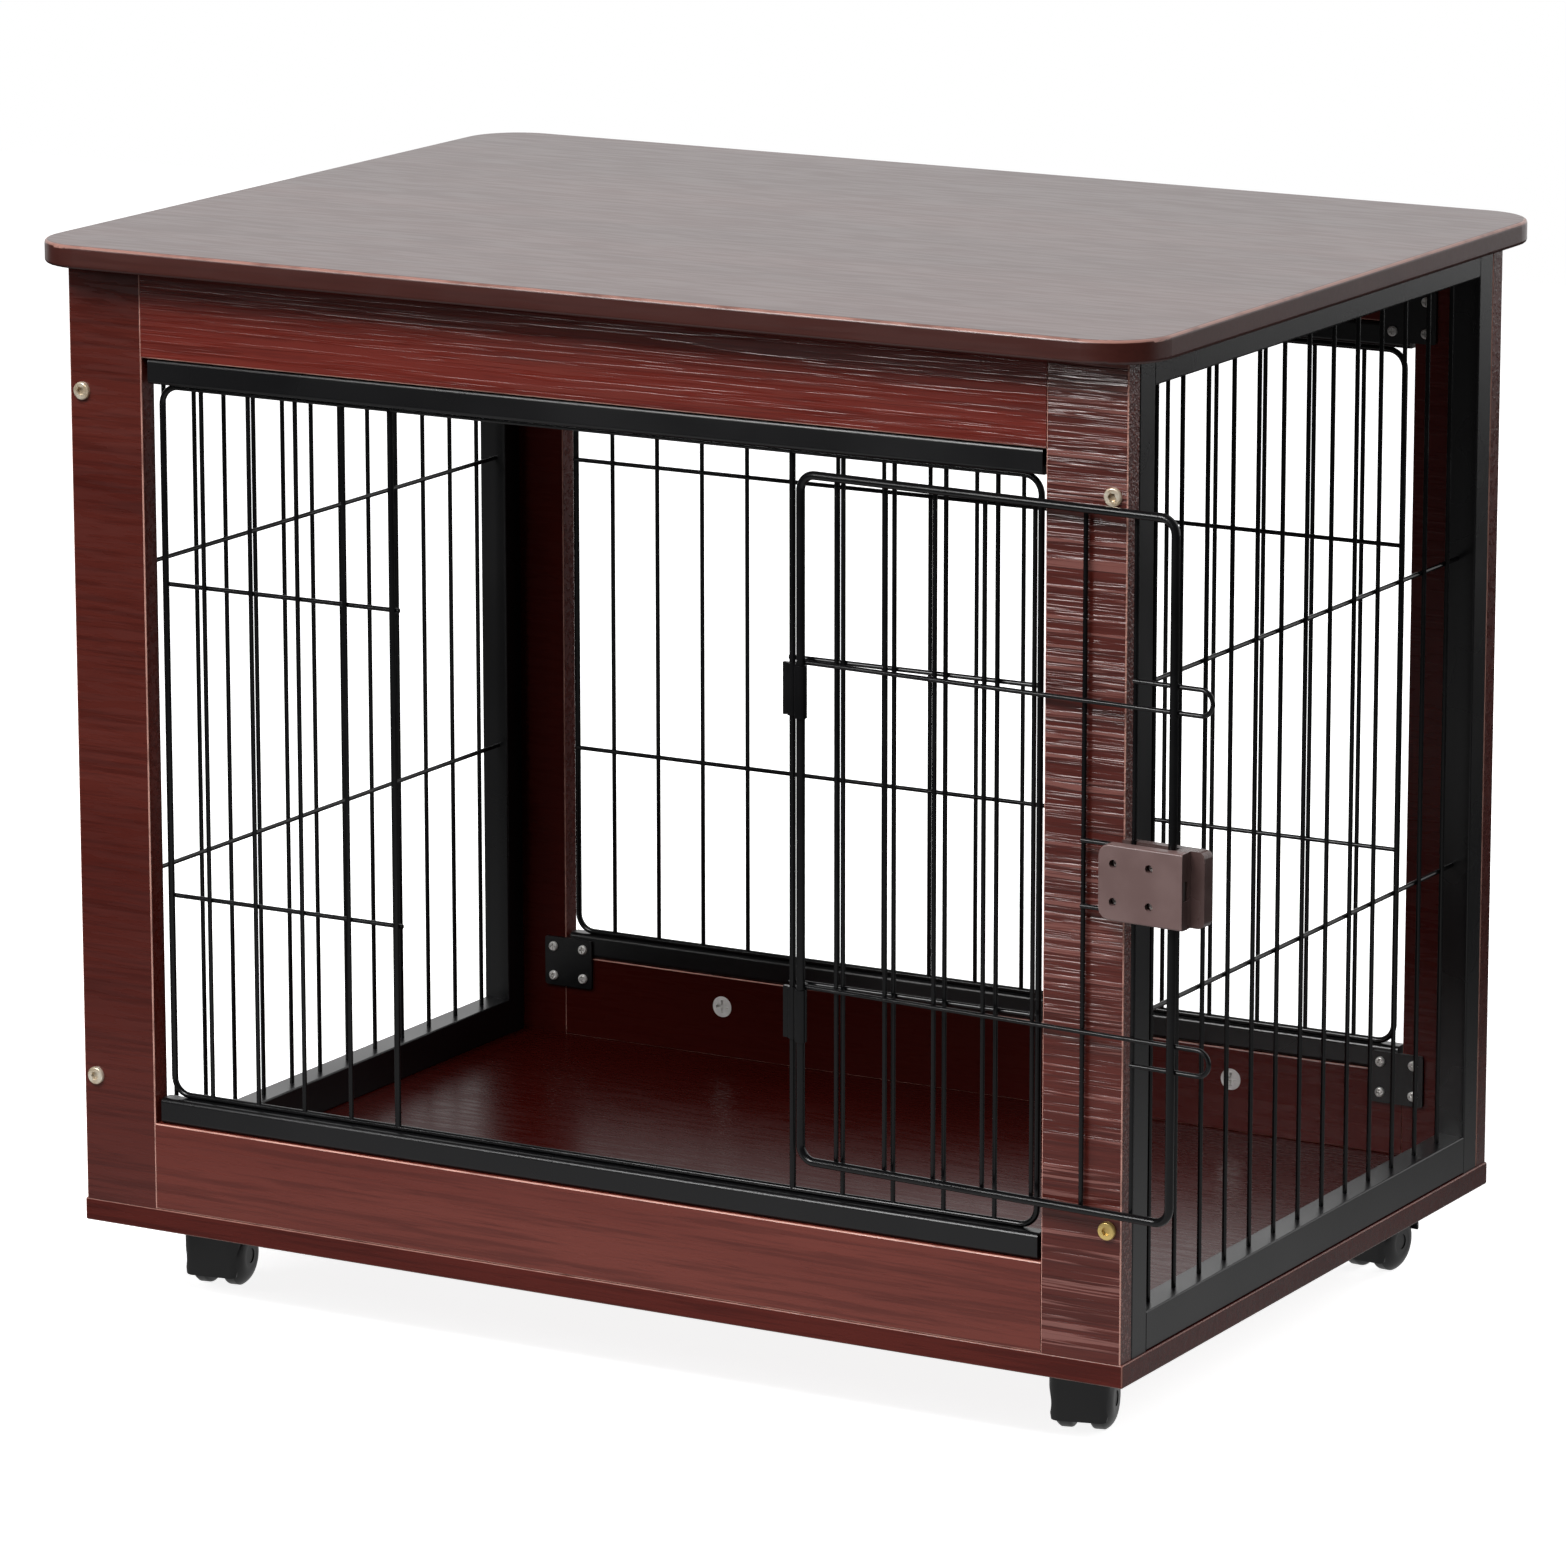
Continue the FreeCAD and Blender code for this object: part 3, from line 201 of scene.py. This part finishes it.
def grained(shader, lighting_tone, streak):
    """Wood colour with a broad figure, and with dark streaks and pores of a given strength along X."""
    dark, middle, light = (tinted(colour, lighting_tone) for colour in (DARK_GRAIN, MIDDLE_GRAIN, LIGHT_GRAIN))
    figure = shader.noise((1.6, 11, 11), detail=3, distortion=0.5)
    streaks = shader.noise((9, 300, 300), detail=3, roughness=0.6, distortion=0.2)
    pores = shader.noise((30, 800, 800), detail=1)
    colour = shader.mix(shader.ramp(figure, 0.30, 0.70), middle, light)
    colour = shader.mix(shader.ramp(streaks, 0.45, 0.66, 0.0, streak), colour, dark)
    return shader.mix(shader.ramp(pores, 0.62, 0.72, 0.0, 0.8 * streak), colour, dark)


def shaded(shader, shade, colour, specular, lighting_tone):
    """The colour and the specular level that the shaded faces of a board have."""
    inward = shader.math("MULTIPLY", shader.facing()[shade.axis], shade.direction)
    to_right = shader.ramp(shader.place()["X"], *SHADE_LEFT_TO_RIGHT)
    left, right = (tinted(LIGHT_GRAIN, lighting_tone, SHADE_TINT, (share, share, share))
                   for share in (shade.at_left, shade.at_right))
    shadow = shader.mix(to_right, left, right)
    colour = shader.mix(shader.ramp(inward, *SHADE_TURN, 0.0, SHADE_DEPTH), colour, shadow)
    dull = shader.ramp(to_right, 0.0, 1.0, *SHADE_SPECULAR)
    return colour, shader.ramp(inward, *SHADE_TURN, specular, dull)


def laminate(name, ridge, ridge_limits=None, ridge_cycles=WAVY, ridge_glint=0.0, mask=edge_mask,
             wear_and_highlight=1.0, lighting_tone=(1, 1, 1), streak=0.5, gloss=0.28, unevenness=0.055, specular=0.40,
             grit=0.015 * MM, shade=None):
    """Dark red-brown laminate with its grain along X, pressed with wavy ridges.

    ridge         height of the ridges
    ridge_limits  two heights on the crate: ridges are faint below the first and full above the second
    crest         how strong the painted highlight on the ridges' tops is
    mask, worn    which edges get a pale line, partly wear and partly painted highlight, and how pale
    tone          factors on the three colour parts of the wood, which make a board lighter or darker as painted light and shade
    streak        strength of the dark streaks
    gloss         roughness, which strays from this by the unevenness
    specular      strength of the reflections
    grit          height of the fine texture
    shade         the faces that lie in the crate's shade, if any
    """
    shader = Shader(name)
    ridges = shader.noise(ridge_cycles, distortion=0.35)
    colour = grained(shader, lighting_tone, streak)
    # Painted highlight: pale pink on the ridges' tops, in place of the glints that light makes there
    if ridge_glint:
        glints = shader.math("MULTIPLY", shader.ramp(ridges, *RIDGE_GLINT_LEVELS), ridge_glint)
        colour = shader.mix(glints, colour, RIDGE_GLINT)
    # Pale rounded edges: partly wear, partly painted highlight
    broken = shader.ramp(shader.noise(45), 0.25, 0.55, 0.45 * wear_and_highlight, wear_and_highlight)
    edges = shader.math("MULTIPLY", mask(shader), broken)
    colour = shader.mix(edges, colour, WORN_AND_LIT_EDGE)
    if shade:
        colour, specular = shaded(shader, shade, colour, specular, lighting_tone)
    shader.feed(shader.sockets["Specular IOR Level"], specular)

    height = shader.ramp(ridges, *RIDGE_SIDE)
    if ridge_limits:
        fade = shader.ramp(shader.place()["Z"], *ridge_limits, FAINT_RIDGES, 1.0)
        height = shader.math("MULTIPLY", height, fade)
    soft = shader.bump(height, ridge)
    fine = shader.noise((60, 1100, 1100))
    rough = shader.ramp(ridges, 0.35, 0.65, gloss + unevenness, gloss - unevenness)
    return shader.finish(colour, rough, shader.bump(fine, grit, under=soft))


# ---------------------------------------------------------------- metal, plastic and bare wood

BRASS = (0.72, 0.52, 0.18, 1)
BRASS_X = (0.10, 0.20)              # X where the nickel bolts end and where the brass ones start
BRASS_Z = (0.30, 0.40)              # heights where the brass ones end and where the nickel ones start
CLOUD = (0.2, 0.8)                  # levels of the clouds' noise between which the roughness changes
MOTTLE = (0.3, 0.7)                 # and between which the colour changes


def black_steel(name):
    """Satin black powder coat with a slight orange peel."""
    shader = Shader(name)
    shader.feed(shader.sockets["Specular IOR Level"], 0.42)
    cloud = shader.noise(7, detail=3)
    peel = shader.noise(650)
    colour = shader.mix(cloud, (0.0028, 0.0028, 0.0032, 1), (0.0062, 0.0062, 0.0070, 1))
    return shader.finish(colour, shader.ramp(cloud, *CLOUD, 0.24, 0.36), shader.bump(peel, 0.03 * MM))


def black_wire(name):
    """Glossy black coating on drawn wire."""
    shader = Shader(name)
    shader.feed(shader.sockets["Specular IOR Level"], 0.30)
    cloud = shader.noise(30)
    peel = shader.noise(500, detail=1)
    colour = shader.mix(cloud, (0.0022, 0.0022, 0.0025, 1), (0.0055, 0.0055, 0.0060, 1))
    return shader.finish(colour, shader.ramp(cloud, *CLOUD, 0.16, 0.28), shader.bump(peel, 0.02 * MM))


def plated(name, dark, light, smooth=0.20, rough=0.42, metallic=0.5, brass_corner=False):
    """Plated metal with a mottled tint and fine turning marks, and brass low down at the right if asked."""
    shader = Shader(name)
    shader.feed(shader.sockets["Metallic"], metallic)
    cloud = shader.noise(120, detail=3)
    colour = shader.mix(shader.ramp(cloud, *MOTTLE), dark, light)
    if brass_corner:
        place = shader.place()
        to_right = shader.ramp(place["X"], *BRASS_X)
        low_down = shader.ramp(place["Z"], *BRASS_Z, 1.0, 0.0)
        colour = shader.mix(shader.math("MULTIPLY", to_right, low_down), colour, BRASS)
    marks = shader.bump(shader.noise(500), 0.02 * MM)
    return shader.finish(colour, shader.ramp(cloud, *CLOUD, smooth, rough), marks)


def moulded(name, dark, light, roughness, painted_side_shade=None):
    """Moulded plastic with a fine spark-eroded texture. Its faces that look right, along +X, get a darker
    tint if one is given: painted shade.
    """
    shader = Shader(name)
    cloud = shader.noise(40, detail=3)
    colour = shader.mix(shader.ramp(cloud, *MOTTLE), dark, light)
    # Painted shade on the faces that look right, along +X
    if painted_side_shade:
        shaded_side = shader.ramp(shader.facing()["X"], 0.50, 0.85)
        colour = shader.mix(shaded_side, colour, painted_side_shade)
    rough = shader.ramp(cloud, *CLOUD, roughness - 0.06, roughness + 0.08)
    return shader.finish(colour, rough, shader.bump(shader.noise(1500), 0.03 * MM))


def bare_dowel(name):
    """Pale turned hardwood with its grain along the dowel."""
    shader = Shader(name)
    grain = shader.noise((900, 900, 25), detail=3)
    colour = shader.mix(grain, (0.34, 0.20, 0.10, 1), (0.58, 0.40, 0.24, 1))
    return shader.finish(colour, 0.62, shader.bump(grain, 0.05 * MM))


# ---------------------------------------------------------------- what each piece is made of

def dress(material, *patterns):
    """Give a material to every CAD node whose name fits one of the patterns."""
    for name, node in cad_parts.items():
        if not any(fnmatch(name, pattern) for pattern in patterns):
            continue
        if not node.material_slots:
            node.data.materials.append(material)
        for slot in node.material_slots:
            slot.material = material


def dress_boards():
    """The boards of the frames, the base and the table top, each with its own pressing and tint. The tints
    make some boards lighter or darker than the others: painted light and shade.
    """
    dress(laminate("smooth_laminate", 0.03 * MM), "front_left_stile")
    dress(laminate("ridged_stile_laminate", 0.32 * MM, ridge_limits=(0.10, 0.42), ridge_cycles=EMBOSSED,
                   ridge_glint=0.5, lighting_tone=(0.92, 0.9, 0.9)),
          "front_right_stile")
    # Painted light: the top rail's tint makes it redder and lighter where the table top shades it
    dress(laminate("top_rail_laminate", 0.12 * MM, ridge_cycles=EMBOSSED, ridge_glint=0.10, lighting_tone=(1.55, 1.1, 1.0)),
          "front_top_rail")
    # Painted light: the bottom rail's tint makes it lighter
    dress(laminate("bottom_rail_laminate", 0.03 * MM, lighting_tone=(1.5, 1.7, 1.7), gloss=0.31),
          "front_bottom_rail")
    dress(laminate("back_laminate", 0.05 * MM, shade=Shade("Y", -1, at_left=0.34, at_right=1.0)),
          "back_*_stile", "back_*_rail")
    # Painted shade: the base board's tint makes it darker
    dress(laminate("base_laminate", 0.02 * MM, wear_and_highlight=0.4, lighting_tone=(0.90, 0.65, 0.60), specular=0.2,
                   shade=Shade("Z", 1, at_left=0.32, at_right=0.50)),
          "base_board")
    dress(laminate("top_laminate", 0.006 * MM, mask=upper_edge_mask, wear_and_highlight=0.5, lighting_tone=(0.62, 0.95, 1.05),
                   streak=0.2, gloss=0.31, unevenness=0.02, specular=0.49, grit=0.008 * MM),
          "table_top")


def dress_metal():
    """The black bars, plates and wires, the fasteners, and the bare metal of the latch and the casters."""
    dress(black_steel("black_steel"), "*_bar", "*_post", "*_corner_plates")
    dress(black_wire("black_wire"), "*_wire_panel", "*_wire_grid", "hinge_clips")
    dress(plated("bright_zinc", (0.60, 0.59, 0.57, 1), (0.88, 0.87, 0.84, 1), metallic=0.3),
          "corner_plate_screws", "latch_screws", "caster_screws", "caster_axle_*", "caster_plate_*")
    dress(plated("bolt_steel", (0.56, 0.43, 0.28, 1), (0.80, 0.74, 0.62, 1), brass_corner=True),
          "frame_bolts")
    dress(plated("cam_zinc", (0.72, 0.71, 0.69, 1), (0.92, 0.91, 0.89, 1), smooth=0.3, rough=0.5,
                 metallic=0.2),
          "cam_locks")
    dress(plated("dark_steel", (0.050, 0.044, 0.042, 1), (0.090, 0.080, 0.076, 1)),
          "latch_bolt")


def dress_small_pieces():
    """The dowels and the plastic of the latch and the casters."""
    dress(bare_dowel("bare_dowel"), "cam_dowels")
    # The latch's faces that look right, along +X, get painted shade
    dress(moulded("taupe_plastic", (0.142, 0.088, 0.083, 1), (0.172, 0.110, 0.104, 1), 0.34,
                  painted_side_shade=(0.050, 0.028, 0.026, 1)),
          "latch_plate", "latch_knob")
    # The housing is darker than the plate, partly in its own colour and partly as painted shade
    dress(moulded("dark_and_shaded_taupe", (0.070, 0.041, 0.038, 1), (0.092, 0.056, 0.052, 1), 0.24),
          "latch_housing")
    dress(moulded("black_nylon", (0.0045, 0.0045, 0.0052, 1), (0.009, 0.009, 0.010, 1), 0.36),
          "caster_hood_*")
    dress(moulded("wheel_nylon", (0.006, 0.006, 0.007, 1), (0.011, 0.011, 0.012, 1), 0.32),
          "caster_wheel_*")


# ---------------------------------------------------------------- floor, light and camera

FLOOR_REACH = 4.0                   # half the side of the square floor
DARK_FLOOR = (0.05, 0.05, 0.05, 1)
PALE_FLOOR = ((0.84, 0.84, 0.84, 1), (0.86, 0.86, 0.86, 1))
GLOW = (0.88, 1.0)                  # under the crate and at the floor's rim
GLOW_DISTANCES = (0.45, 1.1)
POOL_MIDDLE = (0.35, -0.55, 0)
POOL_GLOW = (0.5, 0.0)              # in its middle and outside it
POOL_DISTANCES = (0.5, 1.7)

BACK_PART = (0.05, 0.60)            # Y of the direction where the dim part ends and where it is brightest
BACKDROP_STRENGTH = (0.06, 1.15)    # of the dim part and the bright part, in reflections
LIT_SHARE = 0.20                    # share of that strength that lights the surfaces

MIDDLE = (0, 0, 0.35)               # the middle of the crate
BOUNCE_PLACE = (0.1, -0.53, 0.012)  # the middle of the lamp that lies on the floor, in front of the crate
ABOVE_BOUNCE = (0.1, -0.53, 1.0)

AZIMUTH = 29.656                    # degrees from the crate's front towards its right
ELEVATION = 12.857
ROLL = 0.043
CAMERA_DISTANCE = 5.120
AIM_LEFT = 4.78 * MM                # how far left of the table top's middle the camera aims
AIM_BELOW = 0.3658                  # and how far below its upper face
FOCAL_LENGTH = 180.4                # in millimetres, as is the sensor's width
SENSOR_WIDTH = 36
CLIP_END = 200


def floor_material():
    """Pale grey that the camera sees glow, more so towards the rim, so that it runs into the backdrop.

    Reflections and bounced light see it dark. Reflections also see one pool of light, in front of the
    crate's right half.
    """
    shader = Shader("pale_floor")
    place = shader.coordinates["Object"]
    ray = shader.add("ShaderNodeLightPath").outputs
    pale = shader.mix(shader.noise(3), *PALE_FLOOR)
    colour = shader.mix(ray["Is Camera Ray"], DARK_FLOOR, pale)
    glow = shader.ramp(shader.distance(place, (0, 0, 0)), *GLOW_DISTANCES, *GLOW)
    spread = shader.ramp(shader.distance(place, POOL_MIDDLE), *POOL_DISTANCES, *POOL_GLOW)
    pool = shader.math("MULTIPLY", spread, ray["Is Glossy Ray"])
    strength = shader.ramp(ray["Is Camera Ray"], 0.0, 1.0, pool, glow)
    shader.feed(shader.sockets["Emission Strength"], strength)
    shader.feed(shader.sockets["Emission Color"], WHITE)
    shader.feed(shader.sockets["Specular IOR Level"], 0.0)
    return shader.finish(colour, 0.9)


def floor():
    """A square studio floor under the casters."""
    mesh = bpy.data.meshes.new("floor")
    corners = [(x * FLOOR_REACH, y * FLOOR_REACH, 0) for x, y in ((-1, -1), (1, -1), (1, 1), (-1, 1))]
    mesh.from_pydata(corners, [], [(0, 1, 2, 3)])
    plane = bpy.data.objects.new("floor", mesh)
    bpy.context.scene.collection.objects.link(plane)
    mesh.materials.append(floor_material())


def backdrop():
    """A world that is white to the camera. Reflections see it bright behind the crate and dim in front, and
    surfaces are lit by a fifth of that.
    """
    world = bpy.data.worlds.new("studio")
    bpy.context.scene.world = world
    world.use_nodes = True
    nodes = Nodes(world.node_tree)
    direction = nodes.split(nodes.add("ShaderNodeTexCoord").outputs["Generated"])
    to_back = nodes.ramp(direction["Y"], *BACK_PART, *BACKDROP_STRENGTH)
    ray = nodes.add("ShaderNodeLightPath").outputs
    share = nodes.math("ADD", nodes.math("MULTIPLY", ray["Is Glossy Ray"], 1.0 - LIT_SHARE), LIT_SHARE)
    strength = nodes.math("MULTIPLY", to_back, share)
    background = world.node_tree.nodes["Background"].inputs
    nodes.feed(background["Strength"], nodes.math("MAXIMUM", strength, ray["Is Camera Ray"]))
    nodes.feed(background["Color"], WHITE)


def area_light(name, place, size, power, aim=MIDDLE, diffuse=True, glossy=False):
    """A rectangular lamp that the camera can't see, and that lights surfaces or shows in reflections."""
    light = bpy.data.lights.new(name, "AREA")
    light.shape = "RECTANGLE"
    light.size, light.size_y = size
    light.energy = power
    lamp = bpy.data.objects.new(name, light)
    lamp.location = place
    lamp.rotation_euler = (Vector(aim) - Vector(place)).to_track_quat("-Z", "Y").to_euler()
    lamp.visible_diffuse = diffuse
    lamp.visible_glossy = glossy
    lamp.visible_camera = False
    bpy.context.scene.collection.objects.link(lamp)


def lamps():
    """Four soft boxes round the crate, a lamp on the floor in place of the light that a white floor throws
    up, and a box that shows only in reflections, as glints.
    """
    area_light("front_top_soft_box", (-0.3, -2.5, 3.3), (2.6, 1.4), 165)
    area_light("left_soft_box", (-3.0, -2.4, 2.2), (1.6, 1.6), 37)
    area_light("right_soft_box", (3.2, -0.6, 2.4), (1.4, 1.6), 24)
    area_light("back_soft_box", (0.9, 3.0, 1.5), (1.8, 1.2), 40)
    area_light("floor_bounce", BOUNCE_PLACE, (1.4, 0.36), 1.8, aim=ABOVE_BOUNCE)
    area_light("glint_soft_box", (-1.25, -3.1, 2.0), (0.9, 1.3), 100, aim=(0.3, -0.26, 0.4),
               diffuse=False, glossy=True)


def camera():
    """A camera with a long lens, to the right of the crate's front and a little above it."""
    azimuth, elevation, roll = (math.radians(angle) for angle in (AZIMUTH, ELEVATION, ROLL))
    low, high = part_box("table_top")
    right = Vector((math.cos(azimuth), math.sin(azimuth), 0))
    target = Vector(((low[0] + high[0]) / 2, 0, high[2] - AIM_BELOW)) - right * AIM_LEFT
    towards = Vector((math.sin(azimuth) * math.cos(elevation),
                      -math.cos(azimuth) * math.cos(elevation),
                      math.sin(elevation)))
    data = bpy.data.cameras.new("camera")
    data.sensor_width = SENSOR_WIDTH
    data.lens = FOCAL_LENGTH
    data.clip_end = CLIP_END
    eye = bpy.data.objects.new("camera", data)
    eye.location = target + towards * CAMERA_DISTANCE
    eye.rotation_euler = Euler((math.pi / 2 - elevation, roll, azimuth), "XYZ")
    bpy.context.scene.collection.objects.link(eye)
    bpy.context.scene.camera = eye


dress_boards()
dress_metal()
dress_small_pieces()
floor()
backdrop()
lamps()
camera()
# Colours come out as they are, without the default view's softer contrast.
bpy.context.scene.view_settings.view_transform = "Standard"
